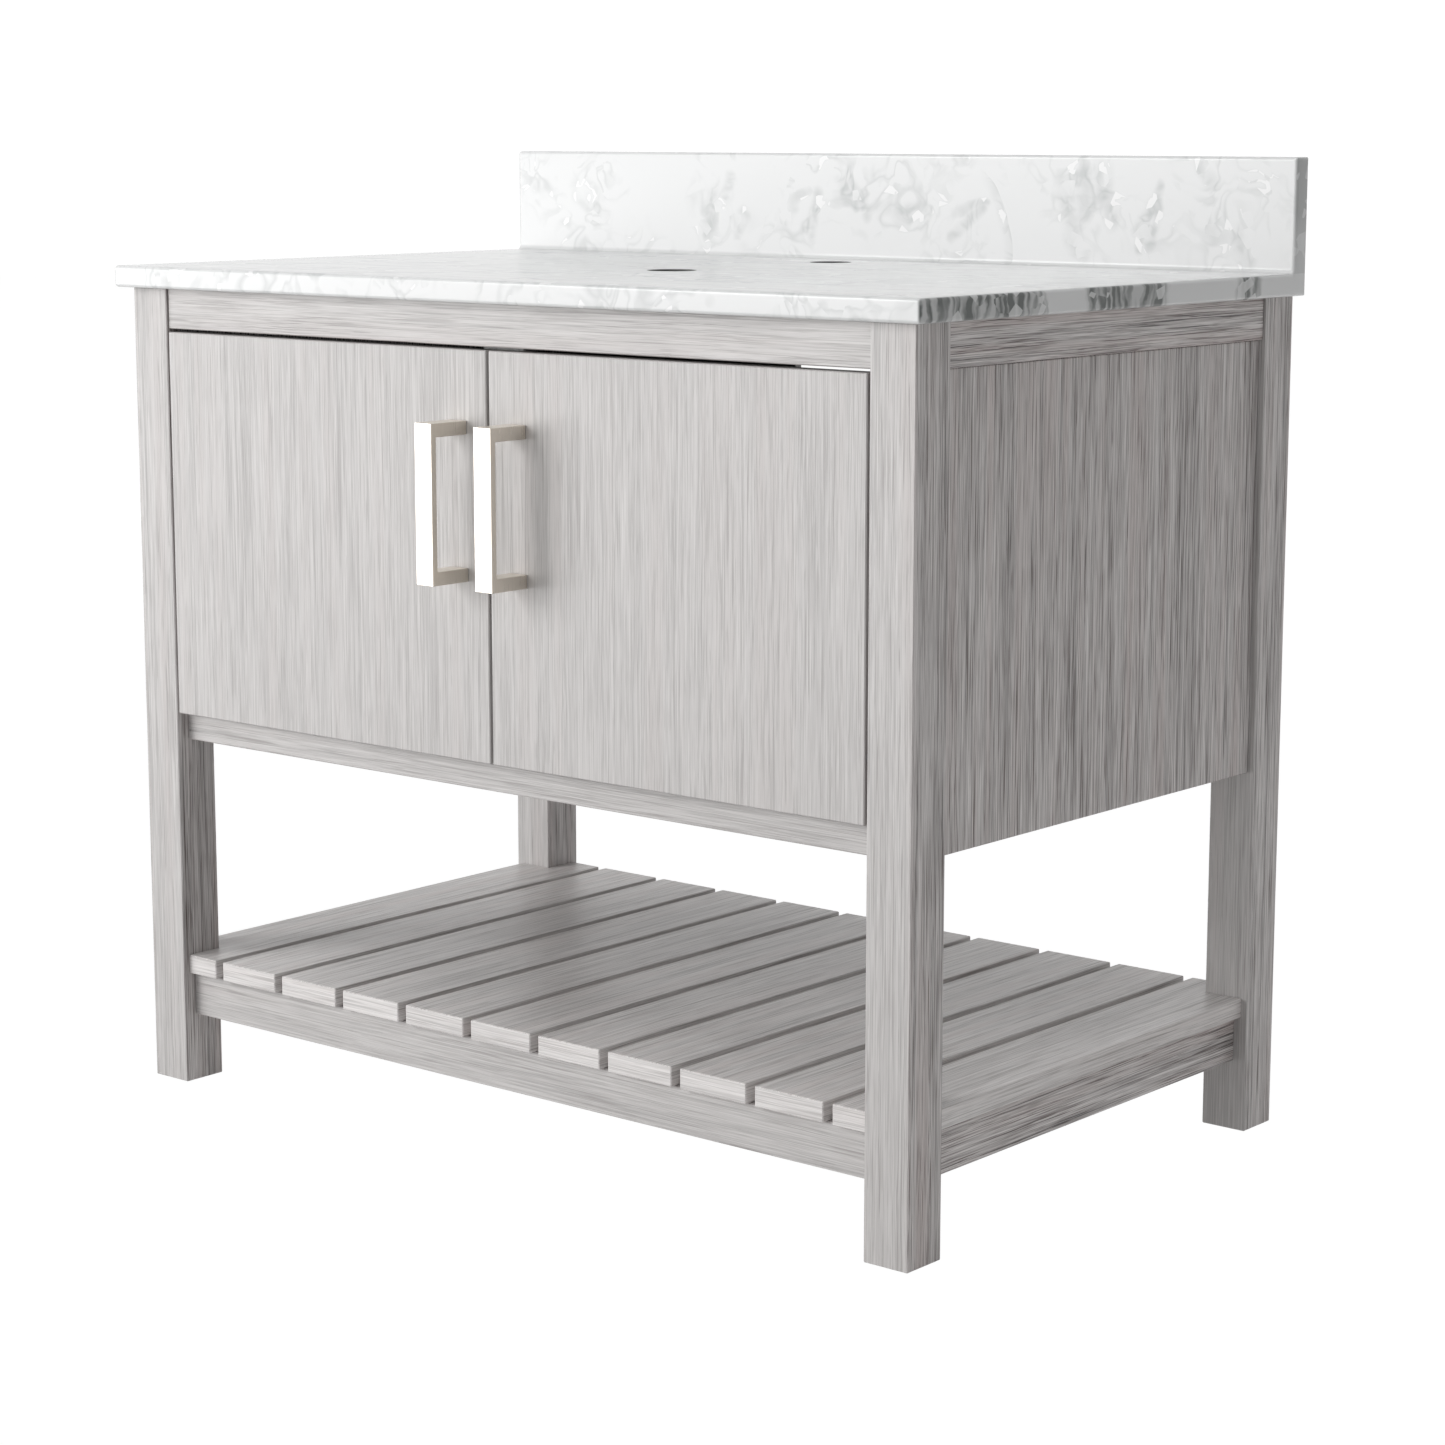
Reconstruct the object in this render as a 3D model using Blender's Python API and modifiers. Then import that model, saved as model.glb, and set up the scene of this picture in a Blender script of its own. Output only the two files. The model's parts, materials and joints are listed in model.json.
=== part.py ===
"""Open-shelf bathroom vanity: a four-legged cabinet with two flush doors, a slatted shelf and a stone top.

Metres, +Z up, front towards -Y. The origin is on the floor, at the middle of the whole object.
"""
import math

import bmesh
import bpy
from mathutils import Matrix, Vector

# Driving dimensions ---------------------------------------------------------------------------
WIDTH = 0.9144              # across the legs
DEPTH = 0.5588              # front of the front legs to back of the back legs
HEIGHT = 0.762              # floor to the underside of the stone top
SEAT = 0.0003               # gap between pieces that touch
ARRIS = 0.0008              # broken edge on every wooden piece

LEG = 0.045                 # square section

TOP_THICKNESS = 0.020
TOP_OVERHANG = 0.0127       # past the legs, at the front and at both sides
SPLASH_HEIGHT = 0.1016
SPLASH_THICKNESS = 0.020
STONE_ROUND = 0.003
DRAIN_RADIUS = 0.0215
DRAIN_SETBACK = 0.242       # from the front of the legs
FAUCET_RADIUS = 0.019
FAUCET_FROM_SPLASH = 0.0648

RAIL_THICKNESS = 0.018
TOP_RAIL_HEIGHT = 0.0373
TOP_RAIL_RECESS = 0.0025    # behind the faces of the legs
BODY_BOTTOM = 0.335         # underside of the closed part of the cabinet
LOWER_RAIL_HEIGHT = 0.0245
LOWER_RAIL_RECESS = 0.013
PANEL_THICKNESS = 0.015
PANEL_RECESS = 0.006
FLOOR_THICKNESS = 0.015
BACK_THICKNESS = 0.009
PLUMBING_WIDTH = 0.186
PLUMBING_HEIGHT = 0.260
PLUMBING_BELOW_RAIL = 0.025
BRACE_HEIGHT = 0.018
BRACE_WIDTH = 0.025         # measured square to the brace's long sides
BRACE_CLEARANCE = 0.001

SHELF_TOP = 0.1248
SLAT_THICKNESS = 0.018
SLAT_COUNT = 11
SLAT_GAP = 0.0095
SLAT_INSET = 0.0064         # outer sides and ends of the shelf, behind the faces of the legs
END_SLAT_EXTRA = 0.004      # the two outer slats are wider by this much
SHELF_RAIL_HEIGHT = 0.0412
SHELF_RAIL_RECESS = 0.013

DOOR_THICKNESS = 0.018
DOOR_SIDE_GAP = 0.0025
DOOR_TOP_GAP = 0.003
DOOR_BOTTOM_GAP = 0.0025
DOOR_MIDDLE_GAP = 0.003

HANDLE_WIDTH = 0.020
HANDLE_REACH = 0.0436       # front of the door to front of the bar
HANDLE_BAR = 0.006
HANDLE_POST = 0.012
HANDLE_CENTRES = 0.128      # screw to screw
HANDLE_FROM_MIDDLE = 0.035
HANDLE_FROM_DOOR_TOP = 0.131
HANDLE_EDGE = 0.0005
SCREW_RADIUS = 0.002
SCREW_HEAD_RADIUS = 0.004
SCREW_HEAD_HEIGHT = 0.0025
SCREW_GRIP = 0.008          # length of thread inside the handle's post
SCREW_HOLE = 0.0025

BARREL_RADIUS = 0.006       # hinge barrels, sunk in the legs and in the doors' edges
BARREL_LENGTH = 0.020
HINGE_FROM_DOOR_END = 0.055
LINK_WIDTH = 0.003
LINK_HEIGHT = 0.005
LINK_END_WALL = 0.00075     # from the ends of the curved link to the front of the barrels

CATCH_WIDTH = 0.048
CATCH_DEPTH = 0.016
CATCH_DROP = 0.020          # how far the catch hangs below the top rail
CATCH_RISE = 0.018
STRIKE_WIDTH = 0.014
STRIKE_HEIGHT = 0.016
STRIKE_THICKNESS = 0.0022   # thicker only where the rail's back is further behind the door's back
STRIKE_FROM_MIDDLE = 0.014
STRIKE_EDGE = 0.0003
STRIKE_CLEARANCE = 0.00015  # behind a strike plate that reaches past the rail, in the catch's rebate

ROUND_SIDES = 32
FINE_SIDES = 24

# Places worked out from the sizes above -------------------------------------------------------
FRONT = -(DEPTH - HANDLE_REACH) / 2
BACK = FRONT + DEPTH
SIDE = WIDTH / 2
LEG_INNER = SIDE - LEG
TOP_RAIL_BOTTOM = HEIGHT - TOP_RAIL_HEIGHT
FLOOR_TOP = BODY_BOTTOM + LOWER_RAIL_HEIGHT
SLAT_BOTTOM = SHELF_TOP - SLAT_THICKNESS
SHELF_RAIL_TOP = SLAT_BOTTOM - SEAT
SHELF_RAIL_BOTTOM = SHELF_RAIL_TOP - SHELF_RAIL_HEIGHT
DOOR_BOTTOM = FLOOR_TOP + DOOR_BOTTOM_GAP
DOOR_TOP = TOP_RAIL_BOTTOM - DOOR_TOP_GAP
DOOR_OUTER = LEG_INNER - DOOR_SIDE_GAP
HANDLE_MIDDLE = DOOR_TOP - HANDLE_FROM_DOOR_TOP
HINGE_AXIS_X = LEG_INNER - DOOR_SIDE_GAP / 2
DOOR_BACK = FRONT + DOOR_THICKNESS
RAIL_BACK = FRONT + TOP_RAIL_RECESS + RAIL_THICKNESS
STRIKE_TOP = DOOR_TOP - 2 * DOOR_TOP_GAP
STRIKE_BACK = max(RAIL_BACK, DOOR_BACK + SEAT + STRIKE_THICKNESS)
HINGE_LEVELS = {"upper": DOOR_TOP - HINGE_FROM_DOOR_END, "lower": DOOR_BOTTOM + HINGE_FROM_DOOR_END}
LINK_RADIUS = DOOR_THICKNESS / 2        # about the hinge's axis, so the link runs through the barrels' middle
BARREL_DEPTH = FRONT + LINK_RADIUS
LINK_REACH = LINK_RADIUS - BARREL_RADIUS + LINK_END_WALL
LINK_HALF_ANGLE = math.acos(LINK_REACH / (LINK_RADIUS - LINK_WIDTH / 2))
SIDES = {"left": -1, "right": 1}

# Finishes: colour, roughness, metallic
ASH = ((0.60, 0.58, 0.57, 1), 0.55, 0.0)
STONE = ((0.86, 0.86, 0.87, 1), 0.25, 0.0)
NICKEL = ((0.72, 0.68, 0.61, 1), 0.32, 1.0)
STEEL = ((0.62, 0.62, 0.63, 1), 0.35, 1.0)
PLASTIC = ((0.80, 0.80, 0.79, 1), 0.50, 0.0)

for old in list(bpy.data.objects):
    bpy.data.objects.remove(old, do_unlink=True)

parts = bpy.data.collections.new("bathroom_vanity_cabinet")
cutters = bpy.data.collections.new("cutters")
bpy.context.scene.collection.children.link(parts)
bpy.context.scene.collection.children.link(cutters)


def add_object(name, data, location, collection):
    """Put a mesh or a curve in the scene at a place."""
    piece = bpy.data.objects.new(name, data)
    piece.location = location
    collection.objects.link(piece)
    return piece


def give_finish(piece, finish):
    """Give a piece a material of its own."""
    colour, roughness, metallic = finish
    material = bpy.data.materials.new(piece.name + "_finish")
    material.use_nodes = True
    shader = material.node_tree.nodes["Principled BSDF"]
    shader.inputs["Base Color"].default_value = colour
    shader.inputs["Roughness"].default_value = roughness
    shader.inputs["Metallic"].default_value = metallic
    piece.data.materials.append(material)


def mesh_from(bm, name):
    """Turn an edit mesh into a mesh, and free it."""
    mesh = bpy.data.meshes.new(name)
    bm.to_mesh(mesh)
    bm.free()
    return mesh


def box_mesh(name, size):
    """A box of one size, centred on its own origin."""
    bm = bmesh.new()
    bmesh.ops.create_cube(bm, size=1.0, matrix=Matrix.Diagonal((*size, 1.0)))
    return mesh_from(bm, name)


def add_bevel(piece, width, segments):
    """Round or break a piece's sharp edges."""
    bevel = piece.modifiers.new("edges", "BEVEL")
    bevel.width = width
    bevel.segments = segments
    bevel.limit_method = "ANGLE"


def block(name, low, high, finish, edge=ARRIS):
    """A sawn piece between two opposite corners, with its edges broken."""
    low, high = Vector(low), Vector(high)
    piece = add_object(name, box_mesh(name, high - low), (low + high) / 2, parts)
    give_finish(piece, finish)
    if edge:
        add_bevel(piece, edge, 1)
    return piece


def make_cutter(name, mesh, location):
    """A shape that only cuts others."""
    cutter = add_object(name, mesh, location, cutters)
    cutter.hide_render = True
    cutter.display_type = "WIRE"
    return cutter


def box_cutter(name, low, high):
    """A box that cuts, between two opposite corners."""
    low, high = Vector(low), Vector(high)
    return make_cutter(name, box_mesh(name, high - low), (low + high) / 2)


def rod_mesh(name, radius, length, direction, sides):
    """A solid cylinder centred on its own origin, along a direction."""
    turn = Vector(direction).to_track_quat("Z", "Y").to_matrix().to_4x4()
    bm = bmesh.new()
    bmesh.ops.create_cone(bm, cap_ends=True, segments=sides, radius1=radius, radius2=radius,
                          depth=length, matrix=turn)
    return mesh_from(bm, name)


def drill(name, radius, start, end, sides=ROUND_SIDES):
    """A drill that makes a round hole from one point to another."""
    start, end = Vector(start), Vector(end)
    mesh = rod_mesh(name, radius, (end - start).length, end - start, sides)
    return make_cutter(name, mesh, (start + end) / 2)


def cut(piece, cutter):
    """Cut one shape out of a piece."""
    boolean = piece.modifiers.new(cutter.name, "BOOLEAN")
    boolean.operation = "DIFFERENCE"
    boolean.solver = "EXACT"
    boolean.object = cutter


def profile_mesh(name, profile, closed):
    """A line through (radius, height) points, in the XZ plane."""
    bm = bmesh.new()
    points = [bm.verts.new((radius, 0, height)) for radius, height in profile]
    for first, second in zip(points, points[1:]):
        bm.edges.new((first, second))
    if closed:
        bm.edges.new((points[-1], points[0]))
    return mesh_from(bm, name)


def spin(piece, sides):
    """Turn a piece's profile about its own Z axis."""
    screw = piece.modifiers.new("turn", "SCREW")
    screw.axis = "Z"
    screw.steps = sides
    screw.render_steps = sides
    screw.use_merge_vertices = True
    screw.merge_threshold = 0.00001


def flat_piece(name, outline, thickness, location, finish):
    """A flat outline in plan, of one thickness, about a place."""
    curve = bpy.data.curves.new(name, "CURVE")
    curve.dimensions = "2D"
    curve.fill_mode = "BOTH"
    curve.extrude = thickness / 2
    spline = curve.splines.new("POLY")
    spline.points.add(len(outline) - 1)
    for point, (x, y) in zip(spline.points, outline):
        point.co = (x, y, 0, 1)
    spline.use_cyclic_u = True
    piece = add_object(name, curve, location, parts)
    give_finish(piece, finish)
    return piece


def child_of(piece, parent):
    """Parent a piece to an empty, keeping the piece where it is."""
    piece.parent = parent
    piece.location = piece.location - parent.location


def leg_span(side):
    """The X range of a leg: left or right."""
    outer, inner = SIDES[side] * SIDE, SIDES[side] * LEG_INNER
    return min(outer, inner), max(outer, inner)


def edge_span(side, recess, thickness):
    """The X range of a board along a side, set in by a recess."""
    outer = SIDES[side] * (SIDE - recess)
    inner = SIDES[side] * (SIDE - recess - thickness)
    return min(outer, inner), max(outer, inner)


# Legs -----------------------------------------------------------------------------------------
def make_legs():
    """Four square posts from the floor to the stone top, and the shapes that notch boards around them."""
    legs, notches = {}, {}
    for side in SIDES:
        x0, x1 = leg_span(side)
        for end, y0 in (("front", FRONT), ("back", BACK - LEG)):
            name = f"leg_{end}_{side}"
            legs[end, side] = block(name, (x0, y0, 0), (x1, y0 + LEG, HEIGHT - SEAT), ASH)
            low = (x0 - SEAT, y0 - SEAT, -SEAT)
            high = (x1 + SEAT, y0 + LEG + SEAT, HEIGHT)
            notches[end, side] = box_cutter(f"notch_{end}_{side}", low, high)
    return legs, notches


# Rails ----------------------------------------------------------------------------------------
def cross_rails(name, recess, z0, z1):
    """A front and a back rail between the legs."""
    x = LEG_INNER - SEAT
    y_front, y_back = FRONT + recess, BACK - recess
    block(f"{name}_front", (-x, y_front, z0), (x, y_front + RAIL_THICKNESS, z1), ASH)
    block(f"{name}_back", (-x, y_back - RAIL_THICKNESS, z0), (x, y_back, z1), ASH)


def side_boards(name, recess, thickness, z0, z1):
    """A board between the front and the back leg, on each side."""
    for side in SIDES:
        x0, x1 = edge_span(side, recess, thickness)
        block(f"{name}_{side}", (x0, FRONT + LEG + SEAT, z0), (x1, BACK - LEG - SEAT, z1), ASH)


def make_frame():
    """Rails and panels that tie the legs together."""
    cross_rails("top_rail", TOP_RAIL_RECESS, TOP_RAIL_BOTTOM, HEIGHT - SEAT)
    side_boards("top_rail", TOP_RAIL_RECESS, RAIL_THICKNESS, TOP_RAIL_BOTTOM, HEIGHT - SEAT)
    cross_rails("lower_rail", LOWER_RAIL_RECESS, BODY_BOTTOM, FLOOR_TOP)
    side_boards("side_panel", PANEL_RECESS, PANEL_THICKNESS, BODY_BOTTOM, TOP_RAIL_BOTTOM - SEAT)
    cross_rails("shelf_rail", SHELF_RAIL_RECESS, SHELF_RAIL_BOTTOM, SHELF_RAIL_TOP)
    side_boards("shelf_rail", SHELF_RAIL_RECESS, RAIL_THICKNESS, SHELF_RAIL_BOTTOM, SHELF_RAIL_TOP)


def make_corner_braces():
    """A mitred brace in each top corner, from a side rail to a front or back rail, clear of the leg."""
    rail_inner = TOP_RAIL_RECESS + RAIL_THICKNESS + SEAT
    near = 2 * (LEG - rail_inner) + BRACE_CLEARANCE * math.sqrt(2)
    far = near + BRACE_WIDTH * math.sqrt(2)
    level = HEIGHT - SEAT - BRACE_HEIGHT / 2
    for side, towards_side in SIDES.items():
        for end, towards_end in (("front", -1), ("back", 1)):
            corner_x = towards_side * (SIDE - rail_inner)
            corner_y = (FRONT if end == "front" else BACK) - towards_end * rail_inner
            outline = [(-towards_side * across, -towards_end * along)
                       for across, along in ((near, 0), (far, 0), (0, far), (0, near))]
            flat_piece(f"corner_brace_{end}_{side}", outline, BRACE_HEIGHT,
                       (corner_x, corner_y, level), ASH)


# Cabinet floor and back -----------------------------------------------------------------------
def make_floor(notches):
    """The cabinet's floor, notched around the four legs."""
    x = SIDE - PANEL_RECESS - PANEL_THICKNESS - SEAT
    y0 = FRONT + LOWER_RAIL_RECESS + RAIL_THICKNESS + SEAT
    y1 = BACK - LOWER_RAIL_RECESS - RAIL_THICKNESS - SEAT
    floor = block("cabinet_floor", (-x, y0, FLOOR_TOP - FLOOR_THICKNESS), (x, y1, FLOOR_TOP), ASH)
    for notch in notches.values():
        cut(floor, notch)


def make_back():
    """The back panel, with one large opening for the pipes."""
    x = LEG_INNER - SEAT
    y1 = BACK - LOWER_RAIL_RECESS
    y0 = y1 - BACK_THICKNESS
    panel = block("back_panel", (-x, y0, FLOOR_TOP + SEAT), (x, y1, TOP_RAIL_BOTTOM - SEAT), ASH)
    top = TOP_RAIL_BOTTOM - PLUMBING_BELOW_RAIL
    low = (-PLUMBING_WIDTH / 2, y0 - BACK_THICKNESS, top - PLUMBING_HEIGHT)
    high = (PLUMBING_WIDTH / 2, y1 + BACK_THICKNESS, top)
    cut(panel, box_cutter("plumbing_cutter", low, high))


# Shelf ----------------------------------------------------------------------------------------
def make_slats(notches):
    """Slats from front to back on the shelf rails, the two outer ones notched around the legs."""
    outer = SIDE - SLAT_INSET
    slat = (2 * (outer - END_SLAT_EXTRA) - (SLAT_COUNT - 1) * SLAT_GAP) / SLAT_COUNT
    y0, y1 = FRONT + SLAT_INSET, BACK - SLAT_INSET
    end_slats = {0: "left", SLAT_COUNT - 1: "right"}
    for number in range(SLAT_COUNT):
        x0 = END_SLAT_EXTRA - outer + number * (slat + SLAT_GAP)
        x1 = x0 + slat
        side = end_slats.get(number)
        if side == "left":
            x0 = -outer
        if side == "right":
            x1 = outer
        board = block(f"slat_{number + 1:02d}", (x0, y0, SLAT_BOTTOM), (x1, y1, SHELF_TOP), ASH)
        if side:
            cut(board, notches["front", side])
            cut(board, notches["back", side])


# Stone top ------------------------------------------------------------------------------------
def stone(name, low, high, keep_square):
    """A stone slab whose exposed edges are rounded; keep_square tells which edges are left square."""
    low, high = Vector(low), Vector(high)
    middle = (low + high) / 2
    bm = bmesh.new()
    bmesh.ops.create_cube(bm, size=1.0, matrix=Matrix.Diagonal((*(high - low), 1.0)))
    exposed = [edge for edge in bm.edges if not keep_square([v.co + middle for v in edge.verts])]
    bmesh.ops.bevel(bm, geom=exposed, offset=STONE_ROUND, segments=3, profile=0.5, affect="EDGES")
    piece = add_object(name, mesh_from(bm, name), middle, parts)
    give_finish(piece, STONE)
    return piece


def make_top():
    """The stone top with its drain and faucet holes, and the splash that stands on it."""
    x = SIDE + TOP_OVERHANG
    surface = HEIGHT + TOP_THICKNESS
    near = SEAT / 2

    def at_back(points):
        return all(point.y > BACK - near for point in points)

    def at_back_or_foot(points):
        return at_back(points) or all(point.z < surface + SEAT + near for point in points)

    top = stone("countertop", (-x, FRONT - TOP_OVERHANG, HEIGHT), (x, BACK, surface), at_back)
    for name, radius, y in (("drain", DRAIN_RADIUS, FRONT + DRAIN_SETBACK),
                            ("faucet", FAUCET_RADIUS, BACK - SPLASH_THICKNESS - FAUCET_FROM_SPLASH)):
        below, above = HEIGHT - TOP_THICKNESS, surface + TOP_THICKNESS
        cut(top, drill(name + "_drill", radius, (0, y, below), (0, y, above)))
    stone("backsplash", (-x, BACK - SPLASH_THICKNESS, surface + SEAT),
          (x, BACK, surface + SPLASH_HEIGHT), at_back_or_foot)


# Hinges ---------------------------------------------------------------------------------------
def link_outline():
    """A curved link in plan: an arc about the hinge's axis, half in the leg and half in the door."""
    steps = 12
    inner, outer = LINK_RADIUS - LINK_WIDTH / 2, LINK_RADIUS + LINK_WIDTH / 2
    sweep = [math.pi / 2 - LINK_HALF_ANGLE + 2 * LINK_HALF_ANGLE * i / steps for i in range(steps + 1)]
    outward = [(outer * math.cos(a), outer * math.sin(a)) for a in sweep]
    inward = [(inner * math.cos(a), inner * math.sin(a)) for a in reversed(sweep)]
    return outward + inward


def link_race(name, axis_x, level):
    """The ring that cuts a curved slot for the link in both barrels."""
    inner = LINK_RADIUS - LINK_WIDTH / 2 - SEAT
    outer = LINK_RADIUS + LINK_WIDTH / 2 + SEAT
    half = LINK_HEIGHT / 2 + SEAT
    profile = [(outer, half), (outer, -half), (inner, -half), (inner, half)]
    race = make_cutter(name, profile_mesh(name, profile, closed=True), (axis_x, FRONT, level))
    spin(race, 2 * FINE_SIDES)
    return race


def barrel(name, x_face, x_end, level, race):
    """A hinge barrel sunk in wood, its face flush, with the curved slot for the link."""
    middle = ((x_face + x_end) / 2, BARREL_DEPTH, level)
    mesh = rod_mesh(name, BARREL_RADIUS, abs(x_end - x_face), (1, 0, 0), FINE_SIDES)
    piece = add_object(name, mesh, middle, parts)
    give_finish(piece, STEEL)
    cut(piece, race)
    return piece


def make_hinges(side, leg, door, swing, link_turn):
    """Two concealed barrel hinges: a barrel in the leg, one in the door's edge, and a link in both."""
    sign = SIDES[side]
    axis_x = sign * HINGE_AXIS_X
    leg_face, door_face = sign * LEG_INNER, sign * DOOR_OUTER
    for level_name, level in HINGE_LEVELS.items():
        tag = f"{side}_{level_name}"
        race = link_race(f"race_{tag}", axis_x, level)
        barrel(f"hinge_leg_barrel_{tag}", leg_face, leg_face + sign * BARREL_LENGTH, level, race)
        in_door = barrel(f"hinge_door_barrel_{tag}", door_face, door_face - sign * BARREL_LENGTH,
                         level, race)
        child_of(in_door, swing)
        for piece, face, into in ((leg, leg_face, sign), (door, door_face, -sign)):
            start = (face - into * DOOR_SIDE_GAP / 2, BARREL_DEPTH, level)
            end = (face + into * (BARREL_LENGTH + SEAT), BARREL_DEPTH, level)
            bore = drill(f"bore_{piece.name}_{level_name}", BARREL_RADIUS + SEAT, start, end, FINE_SIDES)
            cut(piece, bore)
        link = flat_piece(f"hinge_link_{tag}", link_outline(), LINK_HEIGHT,
                          (axis_x, FRONT, level), STEEL)
        child_of(link, link_turn)


# Doors ----------------------------------------------------------------------------------------
def hinge_empty(name, side):
    """An empty on a door's hinge axis."""
    empty = bpy.data.objects.new(name, None)
    empty.location = (SIDES[side] * HINGE_AXIS_X, FRONT, DOOR_BOTTOM)
    parts.objects.link(empty)
    return empty


def make_handle(side, door, swing):
    """A flat-bar pull on two posts, cut from one bar, with a screw from inside the door into each post."""
    x = SIDES[side] * HANDLE_FROM_MIDDLE
    half = (HANDLE_CENTRES + HANDLE_POST) / 2
    back = FRONT - SEAT
    low = (x - HANDLE_WIDTH / 2, FRONT - HANDLE_REACH, HANDLE_MIDDLE - half)
    high = (x + HANDLE_WIDTH / 2, back, HANDLE_MIDDLE + half)
    handle = block(f"handle_{side}", low, high, NICKEL, edge=0)
    finger_low = (low[0] - HANDLE_WIDTH, FRONT - HANDLE_REACH + HANDLE_BAR, low[2] + HANDLE_POST)
    finger_high = (high[0] + HANDLE_WIDTH, back + HANDLE_BAR, high[2] - HANDLE_POST)
    cut(handle, box_cutter(f"finger_gap_{side}", finger_low, finger_high))
    add_bevel(handle, HANDLE_EDGE, 2)
    child_of(handle, swing)

    seat = DOOR_BACK + SEAT
    tip = seat - (back - SCREW_GRIP)
    profile = [(0, SCREW_HEAD_HEIGHT), (0.6 * SCREW_HEAD_RADIUS, SCREW_HEAD_HEIGHT),
               (SCREW_HEAD_RADIUS, 0.5 * SCREW_HEAD_HEIGHT), (SCREW_HEAD_RADIUS, 0),
               (SCREW_RADIUS, 0), (SCREW_RADIUS, -tip + SCREW_RADIUS), (0, -tip)]
    for end, level in (("upper", HANDLE_MIDDLE + HANDLE_CENTRES / 2),
                       ("lower", HANDLE_MIDDLE - HANDLE_CENTRES / 2)):
        name = f"handle_screw_{side}_{end}"
        screw = add_object(name, profile_mesh(name, profile, closed=False), (x, seat, level), parts)
        screw.rotation_euler = (-math.pi / 2, 0, 0)
        spin(screw, FINE_SIDES)
        give_finish(screw, STEEL)
        child_of(screw, swing)
        hole_end = (x, back - SCREW_GRIP - SEAT, level)
        hole = drill(f"screw_hole_{side}_{end}", SCREW_HOLE, (x, seat, level), hole_end, FINE_SIDES)
        cut(handle, hole)
        cut(door, hole)


def make_door(side, legs):
    """One flush door with its hinges, handle and strike plate, on an empty at its hinge axis."""
    sign = SIDES[side]
    swing = hinge_empty(f"{side}_door_axis", side)
    link_turn = hinge_empty(f"{side}_link_axis", side)
    xs = sorted((sign * DOOR_MIDDLE_GAP / 2, sign * DOOR_OUTER))
    door = block(f"door_{side}", (xs[0], FRONT, DOOR_BOTTOM), (xs[1], FRONT + DOOR_THICKNESS, DOOR_TOP), ASH)
    make_hinges(side, legs["front", side], door, swing, link_turn)
    make_handle(side, door, swing)
    child_of(door, swing)

    x = sign * STRIKE_FROM_MIDDLE
    low = (x - STRIKE_WIDTH / 2, DOOR_BACK + SEAT, STRIKE_TOP - STRIKE_HEIGHT)
    high = (x + STRIKE_WIDTH / 2, STRIKE_BACK, STRIKE_TOP)
    strike = block(f"strike_plate_{side}", low, high, STEEL, edge=STRIKE_EDGE)
    child_of(strike, swing)


def make_catch():
    """A double magnetic catch behind the top rail, which stops and holds both doors."""
    y0 = RAIL_BACK + SEAT
    foot = TOP_RAIL_BOTTOM - CATCH_DROP
    catch = block("magnetic_catch", (-CATCH_WIDTH / 2, y0, foot),
                  (CATCH_WIDTH / 2, y0 + CATCH_DEPTH, TOP_RAIL_BOTTOM + CATCH_RISE), PLASTIC)
    cut(catch, box_cutter("strike_rebate", (-CATCH_WIDTH, FRONT, foot - CATCH_DROP),
                          (CATCH_WIDTH, STRIKE_BACK + STRIKE_CLEARANCE, TOP_RAIL_BOTTOM)))


all_legs, all_notches = make_legs()
make_frame()
make_corner_braces()
make_floor(all_notches)
make_back()
make_slats(all_notches)
make_top()
for door_side in SIDES:
    make_door(door_side, all_legs)
make_catch()
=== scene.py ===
"""Looks of an open-shelf bathroom vanity: grey ash veneer, a white marble top and brushed nickel pulls."""
import json
import math
import random

import bmesh
import bpy
from mathutils import Matrix, Vector


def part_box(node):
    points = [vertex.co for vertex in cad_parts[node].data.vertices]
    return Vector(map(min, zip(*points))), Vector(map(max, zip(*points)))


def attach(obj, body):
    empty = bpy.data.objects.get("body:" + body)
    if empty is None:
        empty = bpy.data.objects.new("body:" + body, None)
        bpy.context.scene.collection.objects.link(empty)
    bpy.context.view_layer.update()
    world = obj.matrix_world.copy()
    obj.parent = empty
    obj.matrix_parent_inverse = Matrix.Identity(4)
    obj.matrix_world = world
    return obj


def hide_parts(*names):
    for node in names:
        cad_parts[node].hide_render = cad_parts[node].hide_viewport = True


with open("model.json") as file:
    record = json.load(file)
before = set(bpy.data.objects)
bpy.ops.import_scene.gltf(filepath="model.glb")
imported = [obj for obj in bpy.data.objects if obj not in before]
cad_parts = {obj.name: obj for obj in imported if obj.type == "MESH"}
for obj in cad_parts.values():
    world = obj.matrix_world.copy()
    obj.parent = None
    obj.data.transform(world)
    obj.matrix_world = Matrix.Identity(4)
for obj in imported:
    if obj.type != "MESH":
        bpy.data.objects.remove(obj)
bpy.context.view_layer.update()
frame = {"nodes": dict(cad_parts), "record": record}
nodes = frame["nodes"]

# Camera ---------------------------------------------------------------------------------------
# A long lens a little above the counter, on the right of the doors.
camera = bpy.data.objects.new("camera", bpy.data.cameras.new("camera"))
camera.location = (2.0335, -2.3678, 0.9149)
camera.rotation_euler = (math.radians(80), 0, math.radians(40))
camera.data.lens = 85
camera.data.sensor_width = 36
camera.data.dof.use_dof = False
bpy.context.scene.collection.objects.link(camera)
bpy.context.scene.camera = camera
bpy.context.scene.view_settings.view_transform = "Standard"
bpy.context.scene.view_settings.look = "None"


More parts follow.
